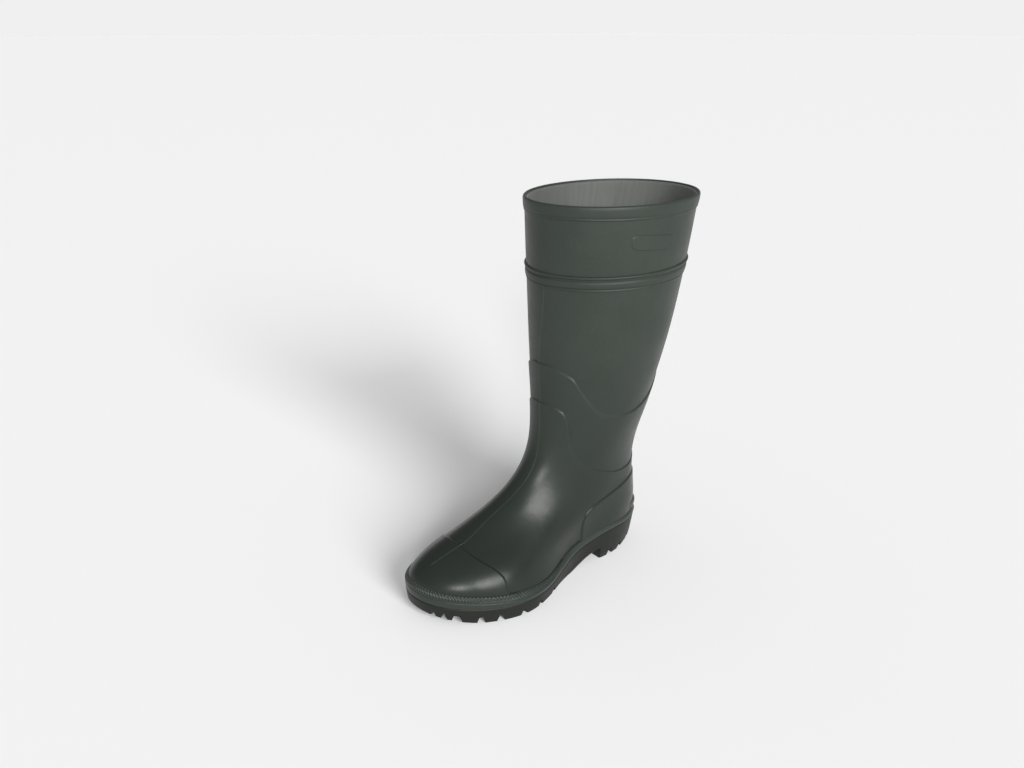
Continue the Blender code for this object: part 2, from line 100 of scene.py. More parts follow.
def spline(x, y, at):
    """Natural cubic through (x, y); y may hold a row of values for each x."""
    x, y = np.asarray(x, float), np.asarray(y, float)
    step = np.diff(x)
    slope = np.diff(y, axis=0) / (step if y.ndim == 1 else step[:, None])
    system = np.eye(len(x))
    right = np.zeros_like(y)
    inner = np.arange(1, len(x) - 1)
    system[inner, inner - 1] = step[:-1]
    system[inner, inner] = 2 * (step[:-1] + step[1:])
    system[inner, inner + 1] = step[1:]
    right[inner] = 6 * np.diff(slope, axis=0)
    bend = np.linalg.solve(system, right)
    at = np.clip(np.asarray(at, float), x[0], x[-1])
    k = np.clip(np.searchsorted(x, at) - 1, 0, len(x) - 2)
    h, a, b = step[k], x[k + 1] - at, at - x[k]
    if y.ndim > 1:
        h, a, b = h[..., None], a[..., None], b[..., None]
    low = bend[k] * a ** 3 / (6 * h) + (y[k] / h - bend[k] * h / 6) * a
    return low + bend[k + 1] * b ** 3 / (6 * h) + (y[k + 1] / h - bend[k + 1] * h / 6) * b


def trace(points, samples):
    """A smooth line through points, evenly eased, as an array of samples."""
    points = np.array(points, float)
    along = np.r_[0, np.cumsum(np.linalg.norm(np.diff(points, axis=0), axis=1) ** 0.5)]
    return spline(along, points, np.linspace(0, along[-1], samples))


def smooth(x):
    """Eased step: 0 below 0, 1 above 1, with flat ends."""
    x = np.clip(x, 0, 1)
    return x * x * (3 - 2 * x)


FRONT = trace(FRONT_PROFILE, 6000)
BACK = trace(BACK_PROFILE, 6000)
LEVEL_WEIGHTS = np.eye(len(LEVELS))
SHARE_WEIGHTS = np.eye(len(SHARES))


def swing(forward):
    """Sideways place of the foot's middle line: a parabola from where the toe turns in."""
    return -TOE_SWING * np.clip((forward - SWING_START) / SWING_LENGTH, 0, None) ** 2


def slice_points(angle, up):
    """Bare upper: each level is an oval between the heel and toe profiles, whose
    half-width is a fullness, looked up by level and by share of length, times the sine
    of the angle round it."""
    share = (1 + np.cos(angle)) / 2
    by_level = spline(LEVELS, LEVEL_WEIGHTS, up)
    by_share = spline(SHARES, SHARE_WEIGHTS, share)
    outer = np.einsum("...l,lk,...k->...", by_level, np.array(OUTER_FULLNESS, float), by_share)
    inner = np.einsum("...l,lk,...k->...", by_level, np.array(INNER_FULLNESS, float), by_share)
    full = np.where(np.sin(angle) >= 0, outer, inner)
    heel = np.interp(up, BACK[:, 1], BACK[:, 0])
    toe = np.interp(up, FRONT[:, 1], FRONT[:, 0])
    forward = heel + (toe - heel) * share
    return np.stack([full * np.sin(angle) + swing(forward), MIDDLE - forward, up], -1)


def skin_normals(angle, up):
    """Outward normals of the bare upper from its slopes round and up."""
    turn, rise = 0.012, 0.8
    along = slice_points(angle + turn, up) - slice_points(angle - turn, up)
    climb = slice_points(angle, up + rise) - slice_points(angle, up - rise)
    normal = np.cross(along, climb)
    normal /= np.linalg.norm(normal, axis=-1, keepdims=True)
    outwards = normal[..., 0] * np.sin(angle) - normal[..., 1] * np.cos(angle)
    return normal * np.where(outwards < 0, -1, 1)[..., None]


def skin(angle, up, out):
    """Points that stand `out` off the bare upper."""
    angle, up, out = np.broadcast_arrays(angle, up, out)
    return slice_points(angle, up) + skin_normals(angle, up) * out[..., None]


def fold(angle):
    """Degrees from the toe, 0 to 180, the same on both sides."""
    return np.abs((np.asarray(angle) + np.pi) % (2 * np.pi) - np.pi) * 180 / np.pi


def edge_height(edge, angle):
    """Height of a layer's edge at each angle, from its table of degrees and heights."""
    table = np.array(edge, float)
    return spline(table[:, 0], table[:, 1], fold(angle))


def sole_forward(angle):
    """Forward place of the sole's outline: the length times the share (1 + cos) / 2."""
    return OUTSOLE_BACK + (OUTSOLE_TIP - OUTSOLE_BACK) * (1 + np.cos(angle)) / 2


def sole_top(forward):
    """Height of the outsole's upper face."""
    table = np.array(SOLE_TOP, float)
    return spline(table[:, 0], table[:, 1], forward)


def feather(angle):
    """Height of the line where the upper turns under the foot."""
    return sole_top(sole_forward(angle)) + WELT


def sole_outline(angle):
    """Outline of the sole in plan, with its outward normals: its half-width at each
    share of the length times the sine of the angle."""
    def plan(angle):
        weights = spline(SHARES, SHARE_WEIGHTS, (1 + np.cos(angle)) / 2)
        tables = np.array(SOLE_FULLNESS, float)
        full = np.where(np.sin(angle) >= 0, weights @ tables[0], weights @ tables[1])
        forward = sole_forward(angle)
        return np.stack([full * np.sin(angle) + swing(forward), MIDDLE - forward], -1)

    ahead = plan(angle + 0.006) - plan(angle - 0.006)
    normal = np.stack([-ahead[..., 1], ahead[..., 0]], -1)
    normal /= np.linalg.norm(normal, axis=-1, keepdims=True)
    outwards = normal[..., 0] * np.sin(angle) - normal[..., 1] * np.cos(angle)
    return plan(angle), normal * np.where(outwards < 0, -1, 1)[..., None]


# ------------------------------------------------------------------ meshes
def add_mesh(name, points, faces, finish, uv=None):
    """A smooth-shaded object from points in millimetres, with an optional UV per corner."""
    mesh = bpy.data.meshes.new(name)
    mesh.from_pydata((points.reshape(-1, 3) * MM).tolist(), [], faces.tolist())
    if uv is not None:
        layer = mesh.uv_layers.new(name="weave")
        layer.data.foreach_set("uv", uv.reshape(-1).astype(np.float32))
    mesh.materials.append(finish)
    mesh.shade_smooth()
    piece = bpy.data.objects.new(name, mesh)
    bpy.context.scene.collection.objects.link(piece)
    return piece


def grid_faces(rows, columns, close_rows, close_columns):
    """Quads of a grid; a closed direction joins its last line to its first."""
    r = np.arange(rows if close_rows else rows - 1)[:, None]
    c = np.arange(columns if close_columns else columns - 1)[None, :]
    r2, c2 = (r + 1) % rows, (c + 1) % columns
    corners = [r * columns + c, r * columns + c2, r2 * columns + c2, r2 * columns + c]
    return np.stack(np.broadcast_arrays(*corners), -1).reshape(-1, 4)


def grid_uv(rows, columns, close_rows, close_columns, u, v):
    """UV corners of the same grid: u across the columns and v up the rows."""
    r = np.arange(rows if close_rows else rows - 1)[:, None]
    c = np.arange(columns if close_columns else columns - 1)[None, :]
    du, dv = u / columns, v / rows
    corners = [(c * du, r * dv), ((c + 1) * du, r * dv), ((c + 1) * du, (r + 1) * dv),
               (c * du, (r + 1) * dv)]
    return np.stack([np.stack(np.broadcast_arrays(a, b), -1) for a, b in corners], -2)


MERGE, FLAT = 0.002, 0.001               # distances for merged points and flat faces, mm


def clean(piece):
    """Merge coincident points, drop flat faces and face everything outwards."""
    build = bmesh.new()
    build.from_mesh(piece.data)
    bmesh.ops.remove_doubles(build, verts=build.verts, dist=MERGE * MM)
    bmesh.ops.dissolve_degenerate(build, edges=build.edges, dist=FLAT * MM)
    bmesh.ops.recalc_face_normals(build, faces=build.faces)
    build.to_mesh(piece.data)
    build.free()
    return piece


def belt(name, sections, finish, uv_scale=None):
    """A closed piece from sections (rows round the section, columns round the boot)."""
    rows, columns = sections.shape[:2]
    uv = grid_uv(rows, columns, True, True, *uv_scale) if uv_scale else None
    return clean(add_mesh(name, sections, grid_faces(rows, columns, True, True), finish, uv))


def patch(name, outer, inner, finish):
    """A closed piece between an outer and an inner skin that end at open sides."""
    rows, columns = outer.shape[:2]
    loop = np.concatenate([outer, inner[::-1]], 0)
    around = 2 * rows
    faces = grid_faces(around, columns, True, False)
    r = np.arange(rows - 1)
    mirror = around - 1 - r
    left = np.stack([r, r + 1, mirror - 1, mirror], -1) * columns
    right = (np.stack([mirror, mirror - 1, r + 1, r], -1) + 1) * columns - 1
    faces = np.concatenate([faces, left, right], 0)
    return clean(add_mesh(name, loop, faces, finish))


def edge_distance(points, edge):
    """Distance from every grid point to a line of points."""
    best = [np.sqrt(((row[:, None, :] - edge[None, :, :]) ** 2).sum(-1)).min(1) for row in points]
    return np.array(best)


# distances from an edge in mm, close together where the edge is rounded
EDGE_STEPS = np.array([0.0, 0.25, 0.55, 0.9, 1.25, 1.6, 2.0, 2.5, 3.1, 4.0, 5.5])


def rows_to_edge(low, high, spacing, scale):
    """Shares from low to high per column: even rows, then the rounded edge's own rows.

    scale is the length in mm of one unit of share."""
    fine = EDGE_STEPS[::-1] / scale
    count = int(np.max(high - low) * scale / spacing) + 2
    even = np.linspace(0, 1, count)[:-1, None]
    body = low + (high - fine[0] - low) * even
    return np.concatenate([body, high - fine[:, None] * np.ones_like(high)], 0)


def ruled_rows(bottom, top, spacing):
    """(angle, up) rows of a patch ruled from its bottom line to its top line."""
    length = np.linalg.norm(skin(*top, 0.0) - skin(*bottom, 0.0), axis=-1).max()
    count = int(length / spacing) + 2
    share = np.concatenate([np.linspace(0, 1, count)[:-1], 1 - EDGE_STEPS[-2::-1] / length])
    share = np.unique(np.clip(share, 0, 1))[:, None]
    return bottom[0] + (top[0] - bottom[0]) * share, bottom[1] + (top[1] - bottom[1]) * share


RING_SHARES = np.linspace(0, 1, 401)
PROFILE_LENGTHS = np.r_[0, np.cumsum(np.linalg.norm(np.diff(FRONT, axis=0), axis=1))]


def ring_up(angle, share):
    """Height of a ring that runs from the feather line (0) to the rim (1): a share of the
    profile's length at the front and of the height at the back, blended between."""
    front_up = np.interp(share * PROFILE_LENGTHS[-1], PROFILE_LENGTHS, FRONT[:, 1])
    low_front, low_back = feather(0.0), feather(np.pi)
    front = low_front + (front_up - FRONT[0, 1]) * (BOOT_TOP - low_front) / (
        BOOT_TOP - FRONT[0, 1])
    back = low_back + (BOOT_TOP - low_back) * share
    ahead = (1 + np.cos(angle)) / 2
    dip = feather(angle) - (low_back * (1 - ahead) + low_front * ahead)
    return back * (1 - ahead) + front * ahead + dip * (1 - share) ** 6


def share_of(angle, up):
    """The ring share at a height, for each angle: the inverse of ring_up."""
    heights = ring_up(angle[None, :], RING_SHARES[:, None])
    above = np.argmax(heights >= up[None, :] - 1e-9, axis=0)
    k = np.clip(above - 1, 0, len(RING_SHARES) - 2)
    column = np.arange(len(angle))
    low, high = heights[k, column], heights[k + 1, column]
    part = np.clip((up - low) / np.maximum(high - low, 1e-9), 0, 1)
    return RING_SHARES[k] + part * (RING_SHARES[k + 1] - RING_SHARES[k])


def full_turn(points=RING_POINTS):
    """Angles once round the boot, from the toe by the outer side."""
    return np.linspace(0, 2 * np.pi, points, endpoint=False)


# ------------------------------------------------------------------ finishes
class Graph:
    """Short calls for the nodes of one material, on its Principled shader."""

    def __init__(self, name):
        self.material = bpy.data.materials.new(name)
        self.material.use_nodes = True
        self.nodes = self.material.node_tree.nodes
        self.links = self.material.node_tree.links
        self.shader = self.nodes["Principled BSDF"]

    def add(self, kind, values=None, **settings):
        """A node with its sockets' values and its own settings."""
        node = self.nodes.new(kind)
        for key, value in settings.items():
            setattr(node, key, value)
        for key, value in (values or {}).items():
            node.inputs[key].default_value = value
        return node

    def link(self, source, target):
        self.links.new(source, target)

    def coordinates(self, kind="Object"):
        return self.add("ShaderNodeTexCoord").outputs[kind]

    def noise(self, where, scale, detail=4.0, roughness=0.55):
        """Fractal noise, about 0.3 to 0.7."""
        node = self.add("ShaderNodeTexNoise", {"Scale": scale, "Detail": detail,
                                               "Roughness": roughness})
        self.link(where, node.inputs["Vector"])
        return node.outputs["Fac"]

    def ramp(self, value, low, high, out_low, out_high):
        """A value carried from one range to another, and held at its ends."""
        node = self.add("ShaderNodeMapRange", {"From Min": low, "From Max": high,
                                               "To Min": out_low, "To Max": out_high})
        self.link(value, node.inputs["Value"])
        return node.outputs["Result"]

    def total(self, first, second):
        """The sum of two values."""
        node = self.add("ShaderNodeMath", operation="ADD")
        self.link(first, node.inputs[0])
        self.link(second, node.inputs[1])
        return node.outputs["Value"]

    def mix(self, amount, first, second):
        """A blend of two colours, each a colour or another node's output."""
        node = self.add("ShaderNodeMix", data_type="RGBA")
        self.link(amount, node.inputs["Factor"])
        for socket, colour in (("A", first), ("B", second)):
            target = [s for s in node.inputs if s.name == socket and s.type == "RGBA"][0]
            if isinstance(colour, tuple):
                target.default_value = (*colour, 1)
            else:
                self.link(colour, target)
        return [s for s in node.outputs if s.type == "RGBA"][0]

    def bump(self, height, strength, distance, before=None):
        """A normal bent by a height, on top of the one before."""
        node = self.add("ShaderNodeBump", {"Strength": strength, "Distance": distance})
        self.link(height, node.inputs["Height"])
        if before is not None:
            self.link(before, node.inputs["Normal"])
        return node.outputs["Normal"]

    def finish(self, colour=None, roughness=None, normal=None, **constants):
        """Link what varies to the shader, set what is constant, and return the material."""
        for socket, source in (("Base Color", colour), ("Roughness", roughness),
                               ("Normal", normal)):
            if source is not None:
                self.link(source, self.shader.inputs[socket])
        for key, value in constants.items():
            self.shader.inputs[key.replace("_", " ")].default_value = value
        return self.material


GLOSSY_SHADED_BELOW, MATT_UNSHADED_ABOVE = 0.07, 0.27              # heights between which the rubber turns matt and its painted shade on the foot fades out, m


def moulded_rubber(name, colour, bloom, roughness=0.4, grain=0.05, painted_foot_shade=0.6):
    """Satin rubber: cloudy bloom, uneven gloss, moulding grain and fine dust. The foot is
    glossier than the leg, and its colour is darkened towards the ground as painted shade."""
    g = Graph(name)
    where = g.coordinates()
    split = g.add("ShaderNodeSeparateXYZ")
    g.link(where, split.inputs["Vector"])
    up = split.outputs["Z"]
    cloud = g.ramp(g.noise(where, 14.0, 5.0), 0.35, 0.7, 0.0, 1.0)
    speck = g.ramp(g.noise(where, 900.0, 2.0), 0.62, 0.75, 0.0, 0.35)
    tint = g.mix(cloud, colour, bloom)
    tint = g.mix(speck, tint, tuple(min(1.0, 2.2 * c) for c in bloom))
    # painted shade: the colour is scaled down near the ground, fully below the lower height and
    # fading out by the upper one
    tint = g.mix(g.ramp(up, GLOSSY_SHADED_BELOW, MATT_UNSHADED_ABOVE, 0.0, 1.0), tuple(painted_foot_shade * c for c in colour),
                 tint)
    gloss = g.total(g.ramp(up, GLOSSY_SHADED_BELOW, MATT_UNSHADED_ABOVE, roughness - 0.07, roughness + 0.05),
                    g.ramp(g.noise(where, 35.0, 6.0), 0.3, 0.7, -0.04, 0.06))
    fine = g.bump(g.noise(where, 1500.0, 3.0), grain, 0.0004)
    broad = g.bump(g.noise(where, 70.0, 4.0), 0.10, 0.002, fine)
    return g.finish(tint, gloss, broad, Specular_IOR_Level=0.22)


def foam_rubber(name):
    """Open foam: small cells that pit the skin, with painted shade darkening the pits."""
    g = Graph(name)
    cells = g.add("ShaderNodeTexVoronoi", {"Scale": 700.0})
    g.link(g.coordinates(), cells.inputs["Vector"])
    hole = g.ramp(cells.outputs["Distance"], 0.1, 0.6, 0.0, 1.0)
    # painted shade: the colour is darker in the pits of the cells
    tint = g.mix(hole, (0.10, 0.10, 0.09), (0.22, 0.22, 0.2))
    return g.finish(tint, None, g.bump(hole, 0.6, 0.0008), Roughness=0.9)


def fibre_board(name, dark, light):
    """Pressed board: fibres drawn out across the foot, with a dull surface."""
    g = Graph(name)
    drawn = g.add("ShaderNodeMapping", {"Scale": (1.0, 3.0, 1.0)})
    g.link(g.coordinates(), drawn.inputs["Vector"])
    fibres = g.noise(drawn.outputs["Vector"], 260.0, 6.0, 0.7)
    tint = g.mix(g.ramp(fibres, 0.3, 0.7, 0.0, 1.0), dark, light)
    return g.finish(tint, None, g.bump(fibres, 0.3, 0.0004), Roughness=0.85)


def pressed_cork(name):
    """Pressed cork: granules, each of its own shade."""
    g = Graph(name)
    cells = g.add("ShaderNodeTexVoronoi", {"Scale": 450.0})
    g.link(g.coordinates(), cells.inputs["Vector"])
    shade = g.add("ShaderNodeSeparateColor")
    g.link(cells.outputs["Color"], shade.inputs["Color"])
    tint = g.mix(shade.outputs["Red"], (0.16, 0.09, 0.045), (0.36, 0.22, 0.12))
    return g.finish(tint, None, g.bump(cells.outputs["Distance"], 0.4, 0.0006), Roughness=0.8)


def rolled_steel(name):
    """Spring steel with rolling lines along its length."""
    g = Graph(name)
    drawn = g.add("ShaderNodeMapping", {"Scale": (1.0, 0.03, 1.0)})
    g.link(g.coordinates(), drawn.inputs["Vector"])
    lines = g.noise(drawn.outputs["Vector"], 1200.0, 3.0)
    gloss = g.ramp(lines, 0.3, 0.7, 0.28, 0.42)
    return g.finish(None, gloss, g.bump(lines, 0.1, 0.0002),
                    Base_Color=(0.55, 0.56, 0.57, 1), Metallic=1.0)


def knitted_lining(name, colour, light, stitches=(260, 120)):
    """Fine knitted textile: rows of stitches that follow the piece's own UV."""
    g = Graph(name)
    uv = g.coordinates("UV")
    scale = g.add("ShaderNodeMapping", {"Scale": (stitches[0], stitches[1], 1)})
    g.link(uv, scale.inputs["Vector"])
    wale = g.add("ShaderNodeTexWave", {"Scale": 1.0, "Distortion": 1.2, "Detail": 1.0},
                 wave_type="BANDS", bands_direction="X")
    course = g.add("ShaderNodeTexWave", {"Scale": 1.0, "Distortion": 1.0, "Detail": 1.0},
                   wave_type="BANDS", bands_direction="Y")
    for wave in (wale, course):
        g.link(scale.outputs["Vector"], wave.inputs["Vector"])
    height = g.add("ShaderNodeMath", operation="MULTIPLY")
    g.link(wale.outputs["Fac"], height.inputs[0])
    g.link(course.outputs["Fac"], height.inputs[1])
    drawn = g.add("ShaderNodeMapping", {"Scale": (120.0, 3.0, 1.0)})
    g.link(uv, drawn.inputs["Vector"])
    streak = g.ramp(g.noise(drawn.outputs["Vector"], 1.0, 5.0), 0.3, 0.7, 0.0, 1.0)
    tint = g.mix(streak, colour, light)
    # painted shade: the colour is darker between the stitches, where the knit is low
    tint = g.mix(g.ramp(height.outputs[0], 0.0, 0.8, 0.35, 0.0), tint,
                 tuple(0.45 * c for c in colour))
    normal = g.bump(height.outputs[0], 0.5, 0.0005)
    return g.finish(tint, None, normal, Roughness=0.42, Specular_IOR_Level=0.5,
                    Sheen_Weight=0.15, Sheen_Roughness=0.4)


FINISHES = {}


def finish_for(kind):
    """The shared material of each kind of surface, made once."""
    if kind not in FINISHES:
        look = bpy.context.scene.boot_look
        green, bloom = tuple(look.green), tuple(look.green_bloom)
        makers = {
            "leg": lambda: moulded_rubber("leg_rubber", green, bloom, look.gloss),
            "layer": lambda: moulded_rubber("layer_rubber", green, bloom, look.gloss),
            "band": lambda: moulded_rubber("band_rubber", green, bloom, look.gloss + 0.03,
                                           painted_foot_shade=0.95),
            "sole": lambda: moulded_rubber("sole_rubber", tuple(look.black),
                                           tuple(2 * c for c in look.black), 0.55, 0.15, 1.1),
            "lining": lambda: knitted_lining("lining_knit", tuple(look.lining),
                                             tuple(1.4 * c for c in look.lining)),
            "footbed": lambda: knitted_lining("footbed_cloth", tuple(look.footbed),
                                              tuple(1.3 * c for c in look.footbed), (90, 60)),
            "foam": lambda: foam_rubber("footbed_foam_skin"),
            "board": lambda: fibre_board("insole_fibre", (0.19, 0.13, 0.08), (0.32, 0.24, 0.16)),
            "stiffener": lambda: fibre_board("stiffener_sheet", (0.42, 0.40, 0.35),
                                             (0.58, 0.56, 0.50)),
            "cork": lambda: pressed_cork("filler_cork"),
            "steel": lambda: rolled_steel("shank_steel"),
            "flash": lambda: moulded_rubber("flash_rubber", tuple(1.4 * c for c in bloom),
                                            tuple(1.9 * c for c in bloom), look.gloss,
                                            painted_foot_shade=0.9),
        }
        FINISHES[kind] = makers[kind]()
    return FINISHES[kind]


def place(piece, body, slot, *nodes):
    """Ride a body and stand for the nodes of the frame, which it hides. The slot is not used."""
    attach(piece, body)
    if nodes:
        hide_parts(*nodes)
    return piece


# ------------------------------------------------------------------ settings
class BootLook(bpy.types.PropertyGroup):
    """Colours and gloss of the boot."""

    green: bpy.props.FloatVectorProperty(
        name="Rubber", description="Dark green of the upper", subtype="COLOR", size=3,
        min=0, max=1, default=(0.0215, 0.0280, 0.0225))
    green_bloom: bpy.props.FloatVectorProperty(
        name="Bloom", description="Paler green of the clouded patches", subtype="COLOR", size=3,
        min=0, max=1, default=(0.0285, 0.0350, 0.0290))
    black: bpy.props.FloatVectorProperty(
        name="Sole", description="Black of the outsole", subtype="COLOR", size=3,
        min=0, max=1, default=(0.0075, 0.0085, 0.0072))
    lining: bpy.props.FloatVectorProperty(
        name="Lining", description="Grey of the knitted lining", subtype="COLOR", size=3,
        min=0, max=1, default=(0.080, 0.085, 0.077))
    footbed: bpy.props.FloatVectorProperty(
        name="Footbed", description="Grey of the footbed's cover", subtype="COLOR", size=3,
        min=0, max=1, default=(0.10, 0.10, 0.095))
    gloss: bpy.props.FloatProperty(
        name="Roughness", description="Roughness of the green rubber", subtype="FACTOR",
        min=0, max=1, default=0.37)


class BootSizes(bpy.types.PropertyGroup):
    """Thicknesses of the layers and depths of the moulded detail."""

    ankle_step: bpy.props.FloatProperty(
        name="Ankle layer", description="How far the ankle layer stands off the leg",
        subtype="DISTANCE", precision=4, min=0, default=0.0013)
    foot_step: bpy.props.FloatProperty(
        name="Foot layer", description="How far the foot layer stands off the leg",
        subtype="DISTANCE", precision=4, min=0, default=0.0024)
    cap_step: bpy.props.FloatProperty(
        name="Toe cap", description="How far the toe cap and counter stand off the leg",
        subtype="DISTANCE", precision=4, min=0, default=0.0036)
    lug_depth: bpy.props.FloatProperty(
        name="Lug depth", description="Depth of the tread's grooves",
        subtype="DISTANCE", precision=4, min=0, default=0.0065)
    knurl: bpy.props.FloatProperty(
        name="Knurl", description="Height of the knurl on the toe strip",
        subtype="DISTANCE", precision=4, min=0, default=0.0006)


def size(name):
    """A size from the panel, in the millimetres of the tables."""
    return getattr(bpy.context.scene.boot_sizes, name) / MM


# ------------------------------------------------------------------ upper
LAYER_LAP = 9.0                          # how far the ankle layer runs under the foot layer


def make_upper_shell():
    """The bare upper: an outer skin and an inner wall, ruled up in rings, and turned in
    under the foot by the lasting margin."""
    angle = full_turn()
    share = np.r_[np.linspace(0, 0.1, 12)[:-1], np.linspace(0.1, 0.45, 50)[:-1],
                  np.linspace(0.45, 1, 60)]
    up = ring_up(angle[None, :], share[:, None])
    up = np.minimum(up, BOOT_TOP - 1.0)
    outer = skin(angle[None, :], up, 0.0)
    inner = skin(angle[None, :], up, -LEG_WALL)
    margin = skin(angle, up[0], 0.0)
    centre = np.stack([0 * angle, margin[:, 1] * 0.93, margin[:, 2]], -1)
    inwards = (centre - margin) / np.linalg.norm(centre - margin, axis=-1, keepdims=True)
    lasted = margin + LASTING_MARGIN * inwards
    lasted[:, 2] = sole_top(MIDDLE - lasted[:, 1]) + WELT
    lifted = lasted + (0, 0, LEG_WALL - 0.2)
    loop = np.concatenate([lasted[None], outer, inner[::-1], lifted[None]], 0)
    return belt("boot_leg", loop, finish_for("leg"))


def overlay(name, low, edge, below, stand, finish):
    """A layer that rises from the layer below over a rounded edge: its stand-off grows
    with an eased step of the distance from its top edge."""
    angle = full_turn()
    high = share_of(angle, edge_height(edge, angle))
    shares = rows_to_edge(share_of(angle, low(angle)), high, 6.0, PROFILE_LENGTHS[-1])
    up = ring_up(angle[None, :], shares)
    flat = skin(angle[None, :], up, 0.0)
    reach = edge_distance(flat, flat[-1])
    width = 2.0 + 4.0 * np.exp(-((fold(angle) - 68) / 17) ** 2)
    out = below - 0.15 + (stand - below + 0.15) * smooth(reach / width)
    outer = skin(angle[None, :], up, out)
    inner = skin(angle[None, :], up, below - 0.5)
    return belt(name, np.concatenate([outer, inner[::-1]], 0), finish)


def edged_patch(name, top, bottom, below, stand, finish, spacing=4.0, width=2.4):
    """A raised piece on part of the boot, rounded down along its whole top line."""
    angle, up = ruled_rows(bottom, top, spacing)
    flat = skin(angle, up, 0.0)
    reach = edge_distance(flat, flat[-1])
    out = below - 0.15 + (stand - below + 0.15) * smooth(reach / width)
    return patch(name, skin(angle, up, out), skin(angle, up, below - 0.6), finish)


def mirrored_line(points, samples, centre):
    """(angle, up) along a line given on one side of the boot, mirrored to the other."""
    half = trace(points, samples)
    turned = half[::-1] * (-1, 1) + (2 * centre, 0)
    line = np.concatenate([half, turned[1:]], 0)
    return np.radians(line[:, 0]), line[:, 1]


class BOOT_OT_upper(bpy.types.Operator):
    """The moulded leg and foot and the layers laid on it"""
    bl_idname = "boot.upper"
    bl_label = "Upper and layers"

    def execute(self, context):
        ankle_step, foot_step = size("ankle_step"), size("foot_step")
        finish = finish_for("layer")
        place(make_upper_shell(), "boot", "upper_rubber", "upper_shell")
        ankle = overlay("boot_ankle_layer", lambda a: edge_height(FOOT_EDGE, a) - LAYER_LAP,
                        ANKLE_EDGE, 0.0, ankle_step, finish)
        place(ankle, "boot", "overlay_rubber", "ankle_overlay")
        foot = overlay("boot_foot_layer", lambda a: feather(a) + 0.5, FOOT_EDGE,
                       ankle_step, foot_step, finish)
        place(foot, "boot", "overlay_rubber", "foot_overlay")
        self.cap("boot_toe_cap", TOE_CAP_EDGE, 0, "toe_cap")
        self.cap("boot_heel_counter", COUNTER_EDGE, 180, "heel_counter")
        return {"FINISHED"}

    def cap(self, name, edge, centre, node):
        """A raised piece from its edge, mirrored about an angle, down to the feather line."""
        angle, up = mirrored_line(edge, 130, centre)
        foot = np.linspace(angle[0], angle[-1], len(angle))
        piece = edged_patch(name, (angle, up), (foot, feather(foot) - 0.5),
                            size("foot_step"), size("cap_step"), finish_for("layer"))
        place(piece, "boot", "overlay_rubber", node)


# ------------------------------------------------------------------ bands
BAND_DIP = 4.0                           # how far the bead and trim band sink at the front
# closed profiles of the bands: (stand-off, up), from the inside up the outside
RIM_PROFILE = [(-2.1, 386.0), (-2.1, 374.0), (-0.3, 373.4), (-0.1, 374.6), (0.35, 375.0),
               (0.8, 375.4), (0.95, 376.0), (0.9, 376.5), (0.65, 376.8), (0.65, 377.2),
               (0.9, 377.6), (1.2, 378.2), (1.35, 379.0), (1.4, 381.0), (1.45, 384.0),
               (1.4, 386.2), (1.0, 387.4), (0.2, 388.2), (-0.8, 388.4), (-1.7, 388.0),
               (-2.1, 387.2)]
TRIM_PROFILE = [(-0.5, 312.0), (-0.1, 312.0), (0.25, 312.3), (0.6, 312.7), (0.65, 313.3),
                (0.3, 313.8), (0.05, 314.1), (0.1, 314.6), (0.7, 315.0), (1.15, 315.6),
                (1.3, 316.8), (1.3, 319.0), (1.2, 320.4), (0.8, 321.3), (0.2, 321.9),
                (-0.1, 322.3), (-0.5, 322.3)]
BEAD = {"centre": 325.2, "radius": 1.5, "base": 0.35}
# side pad: its middle and half size in degrees round and in mm up, how far its back edge
# sits below its middle, and how far its face rises
PAD = {"angle": 82, "width": 17, "up": 352.5, "height": 7.5, "lean": 2.0, "rise": 0.95}


def ring_strip(name, profile, finish, dip=0.0):
    """A closed profile of (stand-off, up) points carried round the leg; dip is how far
    it sinks at the front, by a cosine of the angle."""
    angle = full_turn()
    profile = np.array(profile, float)
    up = profile[:, 1, None] - dip * (1 + np.cos(angle[None, :])) / 2
    return belt(name, skin(angle[None, :], up, profile[:, 0, None]), finish)


def half_round(centre, radius, base, points=9):
    """Profile of a ridge: a half circle on a base line."""
    turn = np.linspace(-np.pi / 2, np.pi / 2, points)
    curve = np.stack([base + radius * np.cos(turn), centre + radius * np.sin(turn)], -1)
    return np.concatenate([[(base - 0.5, centre - radius)], curve,
                           [(base - 0.5, centre + radius)]])


class BOOT_OT_bands(bpy.types.Operator):
    """Rim band, bead, trim band and the plain side pad"""
    bl_idname = "boot.bands"
    bl_label = "Bands round the leg"

    def execute(self, context):
        finish = finish_for("band")
        rim = ring_strip("boot_rim_band", RIM_PROFILE, finish)
        place(rim, "boot", "band_rubber", "rim_band")
        trim = ring_strip("boot_trim_band", TRIM_PROFILE, finish, BAND_DIP)
        place(trim, "boot", "band_rubber", "trim_band")
        bead = ring_strip("boot_bead", half_round(**BEAD), finish, BAND_DIP)
        place(bead, "boot", "band_rubber", "bead_ring")
        self.pad(finish)
        return {"FINISHED"}

    def pad(self, finish):
        """A plain rounded pad: a superellipse of the angle and height, eased at its rim."""
        across = np.linspace(-1, 1, 90)[None, :]
        along = np.linspace(-1, 1, 60)[:, None]
        angle = np.radians(PAD["angle"] + PAD["width"] * across)
        up = PAD["up"] + PAD["height"] * along - PAD["lean"] * across
        inside = 1 - (np.abs(across) ** 6 + np.abs(along) ** 4) ** 0.25
        out = -0.2 + PAD["rise"] * smooth(inside / 0.14)
        piece = patch("boot_side_pad", skin(angle, up, out),
                      skin(angle, up, -0.6 + 0 * out), finish)
        place(piece, "boot", "band_rubber", "side_pad")


# ------------------------------------------------------------------ strips round the foot
KNURL_SHARE = 0.52                       # share of the strip's height that is knurled
